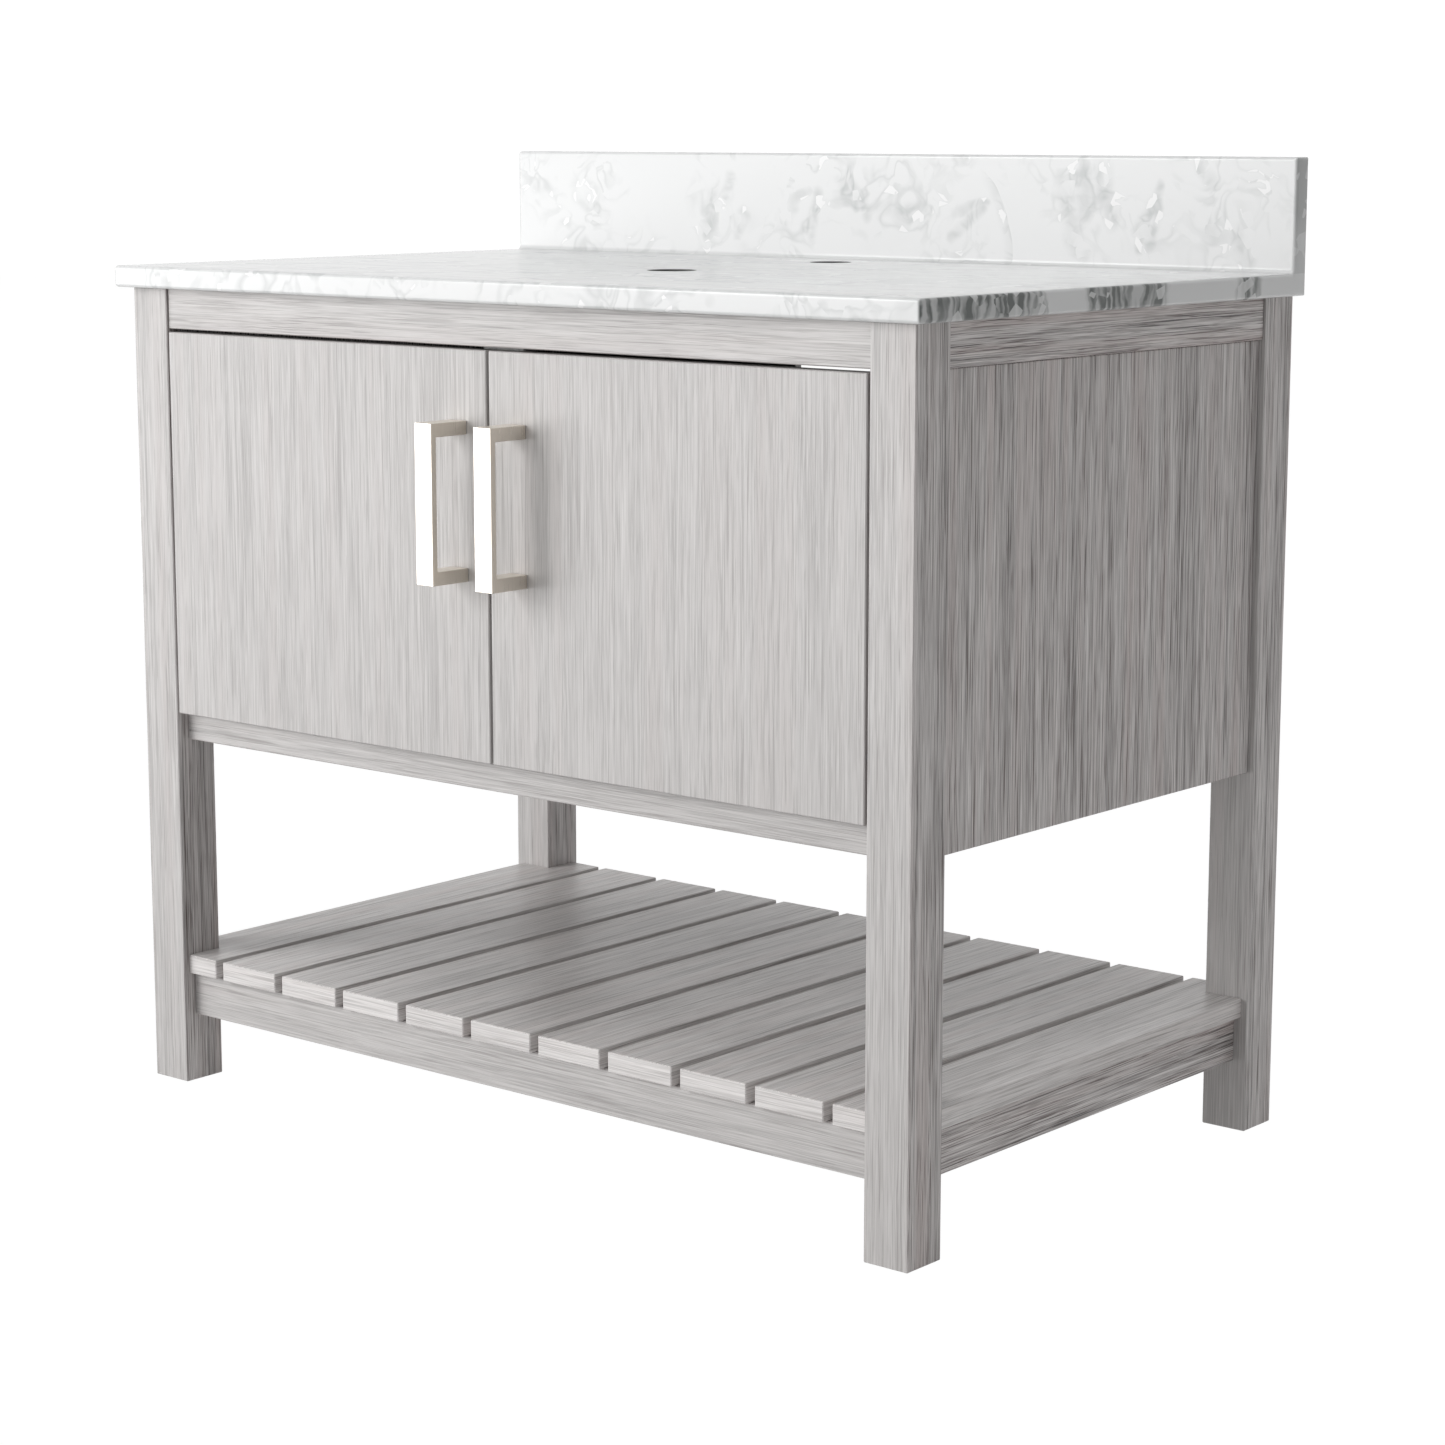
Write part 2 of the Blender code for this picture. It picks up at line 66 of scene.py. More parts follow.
# Studio ---------------------------------------------------------------------------------------
# A pale floor inside a white tent, with a low and a high soft light on the left of the doors, a wide
# one overhead, and fill from all around. The floor that is seen takes only a trace of shadow, and a
# faintly glowing white board in the same place throws light back up.
FLOOR_SIZE = 30.0
BOARD_SIZE = 5.4
TENT_RADIUS = 30.0
FLOOR_DROP = 0.0004
BOARD_DROP = 0.0002
FLOOR_GLOW = 0.955
FLOOR_WHITE = (0.14, 0.14, 0.14, 1)
BOARD_WHITE = (0.62, 0.62, 0.62, 1)
BOARD_GLOW = 0.16
TENT_GLOW = 1.05
PLAIN_WHITE = (1, 1, 1, 1)
FILL_STRENGTH = 0.34
FRONT_LIGHT = {"place": (-5.3, -6.2, 0.5), "aim": (0.0, 0.0, 0.5), "size": (7.5, 4.6), "power": 370}
HIGH_LIGHT = {"place": (-3.6, -5.6, 3.4), "aim": (0.0, 0.0, 0.4), "size": (3.0, 3.0), "power": 230}
OVERHEAD_LIGHT = {"place": (0.5, -1.2, 6.5), "aim": (0.0, 0.1, 0.5), "size": (4.5, 4.5), "power": 105}


def connect(tree, node, sockets):
    """Set a node's inputs: a socket is linked to, and anything else is a plain value."""
    for name, value in sockets.items():
        if isinstance(value, bpy.types.NodeSocket):
            tree.links.new(value, node.inputs[name])
        else:
            node.inputs[name].default_value = value


def add_node(tree, kind, sockets=None, **settings):
    """A shader node with its settings and its inputs."""
    node = tree.nodes.new(kind)
    for name, value in settings.items():
        setattr(node, name, value)
    connect(tree, node, sockets or {})
    return node


def glowing(name, colour, strength, diffuse=None):
    """A material that gives its own light, with a little plain white if asked."""
    material = bpy.data.materials.new(name)
    material.use_nodes = True
    tree = material.node_tree
    tree.nodes.clear()
    glow = add_node(tree, "ShaderNodeEmission", {"Color": colour, "Strength": strength})
    surface = glow.outputs[0]
    if diffuse:
        matt = add_node(tree, "ShaderNodeBsdfDiffuse", {"Color": diffuse})
        both = add_node(tree, "ShaderNodeAddShader", {0: surface, 1: matt.outputs[0]})
        surface = both.outputs[0]
    add_node(tree, "ShaderNodeOutputMaterial", {"Surface": surface})
    return material


def add_piece(name, mesh):
    """Put a finished mesh in the scene, at the frame's origin."""
    piece = bpy.data.objects.new(name, mesh)
    bpy.context.scene.collection.objects.link(piece)
    return piece


def mesh_of(name, bm):
    """Turn an edit mesh into a mesh, and free it."""
    mesh = bpy.data.meshes.new(name)
    bm.to_mesh(mesh)
    bm.free()
    return mesh


def soft_light(name, light):
    """A rectangular soft light that shines at a point."""
    data = bpy.data.lights.new(name, "AREA")
    data.shape = "RECTANGLE"
    data.size, data.size_y = light["size"]
    data.energy = light["power"]
    lamp = bpy.data.objects.new(name, data)
    lamp.location = light["place"]
    towards = Vector(light["aim"]) - Vector(light["place"])
    lamp.rotation_euler = towards.to_track_quat("-Z", "Y").to_euler()
    lamp.visible_camera = False
    bpy.context.scene.collection.objects.link(lamp)


def flat_sheet(name, size, drop, material):
    """A flat square sheet just under the feet."""
    bm = bmesh.new()
    bmesh.ops.create_grid(bm, x_segments=1, y_segments=1, size=size / 2,
                          matrix=Matrix.Translation((0, 0, -drop)))
    sheet = add_piece(name, mesh_of(name, bm))
    sheet.data.materials.append(material)
    return sheet


floor_paint = glowing("pale_floor", PLAIN_WHITE, FLOOR_GLOW, FLOOR_WHITE)
floor = flat_sheet("floor", FLOOR_SIZE, FLOOR_DROP, floor_paint)
floor.visible_diffuse = False
floor.visible_glossy = False
floor.visible_shadow = False
board_paint = glowing("white_board", PLAIN_WHITE, BOARD_GLOW, BOARD_WHITE)
board = flat_sheet("board", BOARD_SIZE, BOARD_DROP, board_paint)
board.visible_camera = False
board.visible_glossy = False

bm = bmesh.new()
bmesh.ops.create_icosphere(bm, subdivisions=4, radius=TENT_RADIUS)
tent = add_piece("tent", mesh_of("tent", bm))
tent.data.materials.append(glowing("white_tent", PLAIN_WHITE, TENT_GLOW))
tent.visible_diffuse = False
tent.visible_shadow = False

soft_light("front_light", FRONT_LIGHT)
soft_light("high_light", HIGH_LIGHT)
soft_light("overhead_light", OVERHEAD_LIGHT)
world = bpy.data.worlds.new("fill")
world.use_nodes = True
fill = world.node_tree.nodes["Background"]
fill.inputs["Color"].default_value = PLAIN_WHITE
fill.inputs["Strength"].default_value = FILL_STRENGTH
bpy.context.scene.world = world


# Legs -----------------------------------------------------------------------------------------
# Four square posts wrapped in grey-washed ash veneer under a satin lacquer. The grain runs up the
# leg in short dark dashes and a few broader bands, and each leg is cut from its own sheet.
ASH_LIGHT = (0.640, 0.618, 0.608)
ASH_MEAN = (0.462, 0.441, 0.434)
ASH_DARK = (0.158, 0.134, 0.128)
ASH_WARM = (0.452, 0.400, 0.388)
ASH_WASH = (0.426, 0.415, 0.408)    # where the grey wash hides the grain
FINE_STREAK = (1150, 11.0)      # noise cells per metre, across and along the grain
MIDDLE_STREAK = (300, 4.5)
BROAD_BAND = (42, 1.1)
LONG_DASH = (900, 12.0)
SHORT_DASH = (1500, 30.0)
GRAIN_WANDER = 0.0014
GRAIN_DEPTH = 0.00035
GRAIN_BUMP = 0.35
FINE_SHARE, MIDDLE_SHARE, BROAD_SHARE = 0.54, 0.24, 0.22    # what each makes of the tone
LONG_DASH_DEPTH = 0.95
SHORT_DASH_DEPTH = 0.75
DEEPEST_TONE = 0.45             # as a share of the mean tone
ASH_LEAST = (0.05, 0.045, 0.044)    # no grain is darker than this
SHEET_STEPS = (1.37, 0.83, 2.91)    # from one board's place on the sheet to the next, in metres
# Painted light: the grain on front faces is made quieter, as if washed out by the strong front light.
LIT_FRONT_QUIET = 0.5               # how strong the grain looks on faces turned to the front
LEG_CONTRAST = 1.4


def stretched_noise(tree, place, cells, detail):
    """Noise that is stretched along Z, as grain is."""
    across, along = cells
    scaled = add_node(tree, "ShaderNodeVectorMath", {0: place, 1: (across, across, along)},
                      operation="MULTIPLY")
    sockets = {"Vector": scaled.outputs[0], "Scale": 1.0, "Detail": detail, "Roughness": 0.5}
    return add_node(tree, "ShaderNodeTexNoise", sockets).outputs["Fac"]


def plain_noise(tree, place, scale, detail, distortion=0.0):
    """Noise between 0 and 1, the same size in every direction."""
    sockets = {"Vector": place, "Scale": scale, "Detail": detail, "Distortion": distortion}
    return add_node(tree, "ShaderNodeTexNoise", sockets).outputs["Fac"]


def remap(tree, value, low, high, to_low=0.0, to_high=1.0):
    """Stretch a range of a value onto another, held at both ends."""
    return add_node(tree, "ShaderNodeMapRange", {"Value": value, "From Min": low, "From Max": high,
                    "To Min": to_low, "To Max": to_high}).outputs[0]


def maths(tree, operation, first, second):
    """One sum of two values."""
    return add_node(tree, "ShaderNodeMath", {0: first, 1: second}, operation=operation).outputs[0]


def vector_maths(tree, operation, first, second):
    """One sum of two vectors."""
    return add_node(tree, "ShaderNodeVectorMath", {0: first, 1: second}, operation=operation).outputs[0]


def mixed_colour(tree, factor, first, second):
    """A colour between two others."""
    mix = add_node(tree, "ShaderNodeMix", {0: factor}, data_type="RGBA")
    for socket, colour in ((mix.inputs[6], first), (mix.inputs[7], second)):
        if isinstance(colour, bpy.types.NodeSocket):
            tree.links.new(colour, socket)
        else:
            socket.default_value = (*colour, 1)
    return mix.outputs[2]


def principled(name, colour=(0.8, 0.8, 0.8), roughness=0.5, metallic=0.0):
    """A material with its shader set up: the material, its tree and its shader."""
    material = bpy.data.materials.new(name)
    material.use_nodes = True
    shader = material.node_tree.nodes["Principled BSDF"]
    shader.inputs["Base Color"].default_value = (*colour, 1)
    shader.inputs["Roughness"].default_value = roughness
    shader.inputs["Metallic"].default_value = metallic
    return material, material.node_tree, shader


def make_ash():
    """The veneer's pattern, for grain along Z: colour, roughness and height."""
    tree = bpy.data.node_groups.new("ash_veneer", "ShaderNodeTree")
    sockets = (("Place", "INPUT", "Vector"), ("Contrast", "INPUT", "Float"), ("Colour", "OUTPUT", "Color"),
               ("Roughness", "OUTPUT", "Float"), ("Height", "OUTPUT", "Float"))
    for name, side, kind in sockets:
        tree.interface.new_socket(name, in_out=side, socket_type="NodeSocket" + kind)
    given = tree.nodes.new("NodeGroupInput")
    place = given.outputs["Place"]
    wander = add_node(tree, "ShaderNodeTexNoise", {"Vector": place, "Scale": 8.0, "Detail": 1.0})
    shift = vector_maths(tree, "MULTIPLY", wander.outputs["Color"], (GRAIN_WANDER,) * 3)
    place = vector_maths(tree, "ADD", place, shift)
    fine = remap(tree, stretched_noise(tree, place, FINE_STREAK, 2.0), 0.33, 0.67)
    middle = remap(tree, stretched_noise(tree, place, MIDDLE_STREAK, 2.0), 0.32, 0.68)
    broad = remap(tree, stretched_noise(tree, place, BROAD_BAND, 2.0), 0.32, 0.68)
    tone = maths(tree, "ADD", maths(tree, "MULTIPLY", fine, FINE_SHARE),
                 maths(tree, "MULTIPLY", middle, MIDDLE_SHARE))
    tone = maths(tree, "ADD", tone, maths(tree, "MULTIPLY", broad, BROAD_SHARE))
    long_dash = remap(tree, stretched_noise(tree, place, LONG_DASH, 1.0), 0.56, 0.66)
    short_dash = remap(tree, stretched_noise(tree, place, SHORT_DASH, 1.0), 0.57, 0.68)
    # Dashes crowd together where the wood is darker.
    crowd = remap(tree, middle, 0.1, 0.85, 1.0, 0.4)
    dash = maths(tree, "MAXIMUM", maths(tree, "MULTIPLY", long_dash, LONG_DASH_DEPTH),
                 maths(tree, "MULTIPLY", short_dash, SHORT_DASH_DEPTH))
    dash = maths(tree, "MULTIPLY", dash, crowd)
    ramp = add_node(tree, "ShaderNodeValToRGB", {"Fac": tone})
    stops = ramp.color_ramp.elements
    stops[0].position, stops[0].color = 0.05, (*(DEEPEST_TONE * c for c in ASH_MEAN), 1)
    stops[1].position, stops[1].color = 0.80, (*ASH_LIGHT, 1)
    stops.new(0.42).color = (*ASH_MEAN, 1)
    warm = mixed_colour(tree, remap(tree, broad, 0.50, 1.0, 0.0, 0.6), ramp.outputs[0], ASH_WARM)
    dashed = mixed_colour(tree, dash, warm, ASH_DARK)
    # Contrast draws the grain away from the plain wash, and may be more than 1.
    colour = add_node(tree, "ShaderNodeVectorMath", {0: vector_maths(tree, "SUBTRACT", dashed, ASH_WASH),
                      "Scale": given.outputs["Contrast"]}, operation="SCALE").outputs[0]
    colour = vector_maths(tree, "ADD", colour, ASH_WASH)
    colour = vector_maths(tree, "MAXIMUM", colour, ASH_LEAST)
    height = maths(tree, "SUBTRACT", maths(tree, "MULTIPLY", tone, 0.5), dash)
    result = tree.nodes.new("NodeGroupOutput")
    connect(tree, result, {"Colour": colour, "Roughness": remap(tree, tone, 0.0, 1.0, 0.44, 0.33),
                           "Height": height})
    return tree


ash = make_ash()
# How a board's own axes are turned so that its grain runs along Z.
GRAIN_TURNS = {"X": (0, math.radians(90), 0), "Y": (math.radians(90), 0, 0), "Z": (0, 0, 0)}
BANDED = {"X": "Y", "Y": "X", "Z": "X"}     # the grain of the edging on a board's ends
boards = list(nodes)


def ash_material(name, grain, contrast, lit_front_quiet=None, shade=1.0):
    """Veneer for one board, cut from its own place on the sheet, with edging over its ends."""
    material, tree, shader = principled(name + "_ash")
    where = add_node(tree, "ShaderNodeTexCoord").outputs["Object"]
    count = boards.index(name)
    offset = tuple(step * count for step in SHEET_STEPS)
    normal = add_node(tree, "ShaderNodeNewGeometry").outputs["Normal"]
    parts = add_node(tree, "ShaderNodeSeparateXYZ", {0: normal})
    # Painted light: the grain is made quieter on faces turned to the front, as if washed out by the strong
    # front light.
    if lit_front_quiet is not None:
        contrast = remap(tree, parts.outputs["Y"], -0.5, -0.8, contrast, lit_front_quiet)
    veneers = []
    for axis in (grain, BANDED[grain]):
        turned = add_node(tree, "ShaderNodeMapping", {"Vector": where, "Location": offset,
                          "Rotation": GRAIN_TURNS[axis]}, vector_type="POINT")
        veneer = add_node(tree, "ShaderNodeGroup", node_tree=ash)
        connect(tree, veneer, {"Place": turned.outputs[0], "Contrast": contrast})
        veneers.append(veneer)
    on_end = maths(tree, "GREATER_THAN", maths(tree, "ABSOLUTE", parts.outputs[grain], 0), 0.72)
    colour = mixed_colour(tree, on_end, veneers[0].outputs["Colour"], veneers[1].outputs["Colour"])
    # The shade factor scales the whole colour: painted light on the slats, painted shade inside the cabinet.
    colour = vector_maths(tree, "MULTIPLY", colour, (shade,) * 3)
    bump = add_node(tree, "ShaderNodeBump", {"Strength": GRAIN_BUMP, "Distance": GRAIN_DEPTH,
                    "Height": veneers[0].outputs["Height"]})
    connect(tree, shader, {"Base Color": colour, "Roughness": veneers[0].outputs["Roughness"],
                           "Normal": bump.outputs[0]})
    return material


def finish_node(name, material):
    """Give a carried-over piece its finish."""
    mesh = nodes[name].data
    mesh.materials.clear()
    mesh.materials.append(material)


for name in ("leg_front_left", "leg_front_right", "leg_back_left", "leg_back_right"):
    finish_node(name, ash_material(name, "Z", LEG_CONTRAST, LIT_FRONT_QUIET))


# Rails ----------------------------------------------------------------------------------------
# Solid battens veneered like the legs, with the grain along them: four under the top, two at the
# foot of the closed part and four that carry the shelf. They are dowelled and glued to the legs.
LONG_RAIL_CONTRAST = 1.4
SIDE_RAIL_CONTRAST = 1.8
for name in ("top_rail_front", "top_rail_back", "lower_rail_front", "lower_rail_back",
             "shelf_rail_front", "shelf_rail_back"):
    finish_node(name, ash_material(name, "X", LONG_RAIL_CONTRAST, LIT_FRONT_QUIET))
for name in ("top_rail_left", "top_rail_right", "shelf_rail_left", "shelf_rail_right"):
    finish_node(name, ash_material(name, "Y", SIDE_RAIL_CONTRAST))

# Panels ---------------------------------------------------------------------------------------
# A veneered board on each side, set a little behind the legs. The cabinet's floor and its back are
# painted darker as painted shade for the inside, and a mitred brace is glued and stapled in each top corner.
PANEL_CONTRAST = 1.45
HIDDEN_CONTRAST = 0.9
INTERIOR_PAINTED_SHADE = 0.45
for name in ("side_panel_left", "side_panel_right"):
    finish_node(name, ash_material(name, "Z", PANEL_CONTRAST))
# Painted shade: the floor, the back and the braces are darkened to stand in for the shade inside the cabinet.
for name in ("cabinet_floor", "back_panel", "corner_brace_front_left", "corner_brace_front_right",
             "corner_brace_back_left", "corner_brace_back_right"):
    finish_node(name, ash_material(name, "X", HIDDEN_CONTRAST, shade=INTERIOR_PAINTED_SHADE))

# Shelf ----------------------------------------------------------------------------------------
# Eleven slats from front to back, screwed to the shelf rails from below, each with its own grain
# and with edging over its ends. The two outer ones are notched round the legs.
SLAT_CONTRAST = 0.7
# Painted light: the slats' veneer is made lighter to stand in for light that the shelf under the cabinet
# lacks.
SLAT_PAINTED_LIGHT = 1.36
for name in sorted(n for n in nodes if n.startswith("slat_")):
    finish_node(name, ash_material(name, "Y", SLAT_CONTRAST, LIT_FRONT_QUIET, SLAT_PAINTED_LIGHT))

# Stone top ------------------------------------------------------------------------------------
# A slab and a splash cut from one white marble, glued into an L, with a bead of clear filler in
# the inner corner. The edges that show are eased, and the slab is drilled for a drain and a tap.
EASED = 0.0032
SHARP = 0.0004
FILLER = 0.0045
ARC_STEPS = 6
END_STEPS = 6
HOLE_STEPS = 96
HOLE_EASE = 0.0012
DRAIN_RADIUS = 0.0215
FAUCET_RADIUS = 0.019


def corner_arc(corner, before, after, radius):
    """An arc that rounds the corner between two straight runs."""
    corner, before, after = Vector(corner), Vector(before), Vector(after)
    centre = corner + radius * (before + after)
    start, end = -after, -before
    turn = [i / ARC_STEPS * math.pi / 2 for i in range(ARC_STEPS + 1)]
    return [centre + radius * (math.cos(t) * start + math.sin(t) * end) for t in turn]


def corner_arc_between(centre, radius, first, last):
    """Points on an arc about a centre. Angles are from straight down towards the back."""
    turn = [first + (last - first) * i / ARC_STEPS for i in range(ARC_STEPS + 1)]
    return [Vector(centre) + radius * Vector((math.sin(t), -math.cos(t))) for t in turn]


def filler_arc(inset):
    """The hollow of the inner corner's bead: its centre, its radius, and where it meets the joint."""
    splash_front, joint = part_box("backsplash")[0].y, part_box("countertop")[1].z
    centre = (splash_front - FILLER, joint + FILLER)
    return centre, FILLER + inset, math.acos(FILLER / (FILLER + inset))


LEFTWARD, RIGHTWARD = Vector((-1, 0)), Vector((1, 0))
DOWNWARD, UPWARD = Vector((0, -1)), Vector((0, 1))


def slab_outline(inset):
    """The slab seen from the right, drawn in by an inset wherever no splash stands on it: (y, z) points."""
    low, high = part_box("countertop")
    front, back, foot = low.y + inset, high.y - inset, low.z + inset
    eased = max(EASED - inset, 0)
    centre, radius, crossing = filler_arc(inset)
    return [
        *corner_arc((back, foot), LEFTWARD, UPWARD, 0),
        Vector((back, high.z)),
        *reversed(corner_arc_between(centre, radius, 0, crossing)),
        *corner_arc((front, high.z - inset), RIGHTWARD, DOWNWARD, eased),
        *corner_arc((front, foot), UPWARD, RIGHTWARD, eased),
    ]


def splash_outline(inset):
    """The splash and the bead at its foot, seen from the right, drawn in by an inset: (y, z) points."""
    low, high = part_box("backsplash")
    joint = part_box("countertop")[1].z
    front, back, top = low.y + inset, high.y - inset, high.z - inset
    centre, radius, crossing = filler_arc(inset)
    return [
        Vector((back, joint)),
        *corner_arc((back, top), DOWNWARD, LEFTWARD, max(SHARP - inset, 0)),
        *corner_arc((front, top), RIGHTWARD, DOWNWARD, max(EASED - inset, 0)),
        *reversed(corner_arc_between(centre, radius, crossing, math.pi / 2)),
    ]


def stone_body(outline):
    """An outline carried from end to end of the slab, with its ends eased like its other edges."""
    low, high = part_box("countertop")
    bm = bmesh.new()
    rings = []
    turns = [i / END_STEPS * math.pi / 2 for i in range(END_STEPS + 1)]
    for end, side, order in ((low.x, 1, turns), (high.x, -1, reversed(turns))):
        for turn in order:
            inset = EASED * (1 - math.sin(turn))
            x = end + side * EASED * (1 - math.cos(turn))
            rings.append([bm.verts.new((x, y, z)) for y, z in outline(inset)])
    for first, second in zip(rings, rings[1:]):
        for a, b, c, d in zip(first, first[1:] + first[:1], second[1:] + second[:1], second):
            bm.faces.new((a, b, c, d))
    bm.faces.new(list(reversed(rings[0])))
    bm.faces.new(rings[-1])
    bmesh.ops.remove_doubles(bm, verts=bm.verts, dist=1e-7)
    bmesh.ops.dissolve_degenerate(bm, edges=bm.edges, dist=1e-7)
    bmesh.ops.recalc_face_normals(bm, faces=bm.faces)
    return bm


def core_drill(name, place, radius, low, high):
    """A core drill for the slab, which eases the rim of its hole."""
    bm = bmesh.new()
    ease = [(radius + HOLE_EASE * (1 - math.cos(t)), high - HOLE_EASE * (1 - math.sin(t)))
            for t in (i / ARC_STEPS * math.pi / 2 for i in range(ARC_STEPS + 1))]
    profile = [(radius, low - radius), *ease, (radius + HOLE_EASE, high + radius)]
    rings = []
    for r, z in profile:
        turn = (2 * math.pi * i / HOLE_STEPS for i in range(HOLE_STEPS))
        rings.append([bm.verts.new((place[0] + r * math.cos(t), place[1] + r * math.sin(t), z))
                      for t in turn])
    for first, second in zip(rings, rings[1:]):
        for i in range(HOLE_STEPS):
            j = (i + 1) % HOLE_STEPS
            bm.faces.new((first[i], first[j], second[j], second[i]))
    bm.faces.new(list(reversed(rings[0])))
    bm.faces.new(rings[-1])
    drill = add_piece(name, mesh_of(name, bm))
    drill.hide_render = True
    return drill


def shade_smooth(mesh, degrees):
    """Shade a mesh smooth, with its sharp edges kept."""
    mesh.shade_smooth()
    mesh.set_sharp_from_angle(angle=math.radians(degrees))


STONE_WHITE = (0.625, 0.630, 0.630)
STONE_GREY = (0.285, 0.300, 0.302)
STONE_DEEP = (0.045, 0.056, 0.051)
# Where veins gather on the splash: shares of its length and height, how far they spread, their lean
# from upright in degrees, their length and half width, their depth of grey, and how many there are.
VEIN_GROUPS = (
    (0.04, 0.8, 0.010, 70, 0.015, 0.005, 0.25, 1), (0.12, 0.5, 0.020, -45, 0.030, 0.005, 0.25, 3),
    (0.30, 0.5, 0.025, 25, 0.025, 0.005, 0.35, 4), (0.42, 0.5, 0.010, 15, 0.030, 0.005, 0.50, 3),
    (0.48, 0.6, 0.020, -30, 0.025, 0.005, 0.40, 4), (0.55, 0.5, 0.010, 75, 0.020, 0.005, 0.35, 2),
    (0.62, 0.3, 0.010, 65, 0.040, 0.004, 0.50, 3), (0.77, 0.5, 0.025, -10, 0.045, 0.008, 0.40, 5),
    (0.84, 0.5, 0.010, 20, 0.045, 0.004, 0.60, 3), (0.90, 0.8, 0.005, -45, 0.025, 0.006, 0.40, 1),
    (0.94, 0.1, 0.005, -30, 0.020, 0.008, 0.45, 1),
)
VEIN_STRENGTH = 0.75
# A large round plate in the splash: grey gathers inside its right edge and stops dead along it.
PLATE_MIDDLE = (0.57, 0.10)     # shares of the splash's length and height
PLATE_RADIUS = 0.10
PLATE_SHADE = (0.012, 0.35)     # how far the grey reaches, and how deep it is
# Bands of veins across the slab's ends, as shares of the way from front to back.
END_BANDS = ((-0.10, 0.30), (0.40, 0.60), (0.80, 0.86))
BAND_FADE = 0.01
CHIP_CELLS = 85.0               # chips per metre, more or less
SLIPPED_ABOVE = 0.90            # the share of chips below which a chip hasn't slipped
SLIP_REACH = 0.008
CLEAN_ABOVE = 0.90
CLEAN_IN_VEINS = 0.12           # a clean chip shows only in stone this grey
CLEAN_WHITE = (0.70, 0.70, 0.70)
END_CHIP_ABOVE = 0.86
BROAD_BEND = (28.0, 1.0, 0.016)     # cells per metre, detail and reach of each bend in the pattern
FINE_BEND = (90.0, 1.0, 0.003)
PLATE_BEND = (30.0, 1.0, 0.010)
END_BEND = (70.0, 2.0, 0.012)
STRAND_CELLS = 42.0
CLOUD_CELLS = 13.0
LINE_CELLS = 24.0
FAINT_DEPTH = 0.36
LAYER_CELLS = (9.0, 95.0, 9.0)
LAYER_DEPTH = 0.24
STRIPE_CELLS = (10.0, 130.0, 22.0)
# Painted light: the clean stone on the sawn ends is made lighter than on the faces, to lift the shaded end.
END_PAINTED_LIGHT = 1.08            # the clean stone of a sawn end, against that of a face
END_SKIN = (0.0022, 0.0008)     # where the end's colour fades in and is full, in from the end


def centred_noise(tree, place, scale, detail, reach):
    """A small shift in every direction that changes slowly from place to place."""
    noise = add_node(tree, "ShaderNodeTexNoise", {"Vector": place, "Scale": scale, "Detail": detail})
    shift = vector_maths(tree, "SUBTRACT", noise.outputs["Color"], (0.5, 0.5, 0.5))
    return vector_maths(tree, "MULTIPLY", shift, (reach, reach, reach))


def soft_stroke(tree, place, first, last, half_width):
    """How near a place is to a stroke between two points: 1 on it, 0 a little way off."""
    run = Vector(last) - Vector(first)
    away = vector_maths(tree, "SUBTRACT", place, tuple(first))
    along = add_node(tree, "ShaderNodeVectorMath", {0: away, 1: tuple(run / run.length_squared)},
                     operation="DOT_PRODUCT").outputs["Value"]
    along = add_node(tree, "ShaderNodeMath", {0: along, 1: 1.0}, operation="MULTIPLY", use_clamp=True)
    foot = add_node(tree, "ShaderNodeVectorMath", {0: tuple(run), "Scale": along.outputs[0]},
                    operation="SCALE").outputs[0]
    gap = vector_maths(tree, "SUBTRACT", away, foot)
    gap = add_node(tree, "ShaderNodeVectorMath", {0: gap}, operation="LENGTH").outputs["Value"]
    near = add_node(tree, "ShaderNodeMapRange", {"Value": gap, "From Min": 0.15 * half_width,
                    "From Max": 1.9 * half_width, "To Min": 1.0, "To Max": 0.0},
                    interpolation_type="SMOOTHSTEP")
    return near.outputs[0]


def length_of(tree, vector):
    """How long a vector is."""
    return add_node(tree, "ShaderNodeVectorMath", {0: vector}, operation="LENGTH").outputs["Value"]


def splash_veins(tree, place):
    """The veins on the splash's face, drawn group by group."""
    low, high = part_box("backsplash")
    size = high - low
    draw = random.Random(7)
    veins = 0.0
    for along, up, spread, lean, length, half_width, depth, count in VEIN_GROUPS:
        for _ in range(count):
            x = low.x + along * size.x + draw.uniform(-spread, spread)
            z = low.z + up * size.z + draw.uniform(-0.2, 0.2) * size.z
            turn = math.radians(lean + draw.uniform(-12, 12))
            reach = Vector((math.sin(turn), 0, math.cos(turn))) * length / 2 * draw.uniform(0.8, 1.2)
            middle = Vector((x, low.y, z))
            near = soft_stroke(tree, place, middle - reach, middle + reach, half_width)
            veins = maths(tree, "MAXIMUM", veins, maths(tree, "MULTIPLY", near, depth * VEIN_STRENGTH))
    return veins


def plate_shade(tree, where):
    """The grey that gathers inside the round plate's right edge."""
    low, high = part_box("backsplash")
    size = high - low
    ragged = vector_maths(tree, "ADD", where, centred_noise(tree, where, *PLATE_BEND))
    plate = (low.x + PLATE_MIDDLE[0] * size.x, low.y, low.z + PLATE_MIDDLE[1] * size.z)
    away = vector_maths(tree, "SUBTRACT", ragged, plate)
    reach = length_of(tree, away)
    shade = remap(tree, reach, PLATE_RADIUS - PLATE_SHADE[0], PLATE_RADIUS, 0.0, PLATE_SHADE[1])
    shade = maths(tree, "MULTIPLY", shade, maths(tree, "LESS_THAN", reach, PLATE_RADIUS))
    rightward = add_node(tree, "ShaderNodeSeparateXYZ", {0: away}).outputs[0]
    on_right = remap(tree, rightward, 0.6 * PLATE_RADIUS, 0.8 * PLATE_RADIUS)
    return maths(tree, "MULTIPLY", shade, on_right)


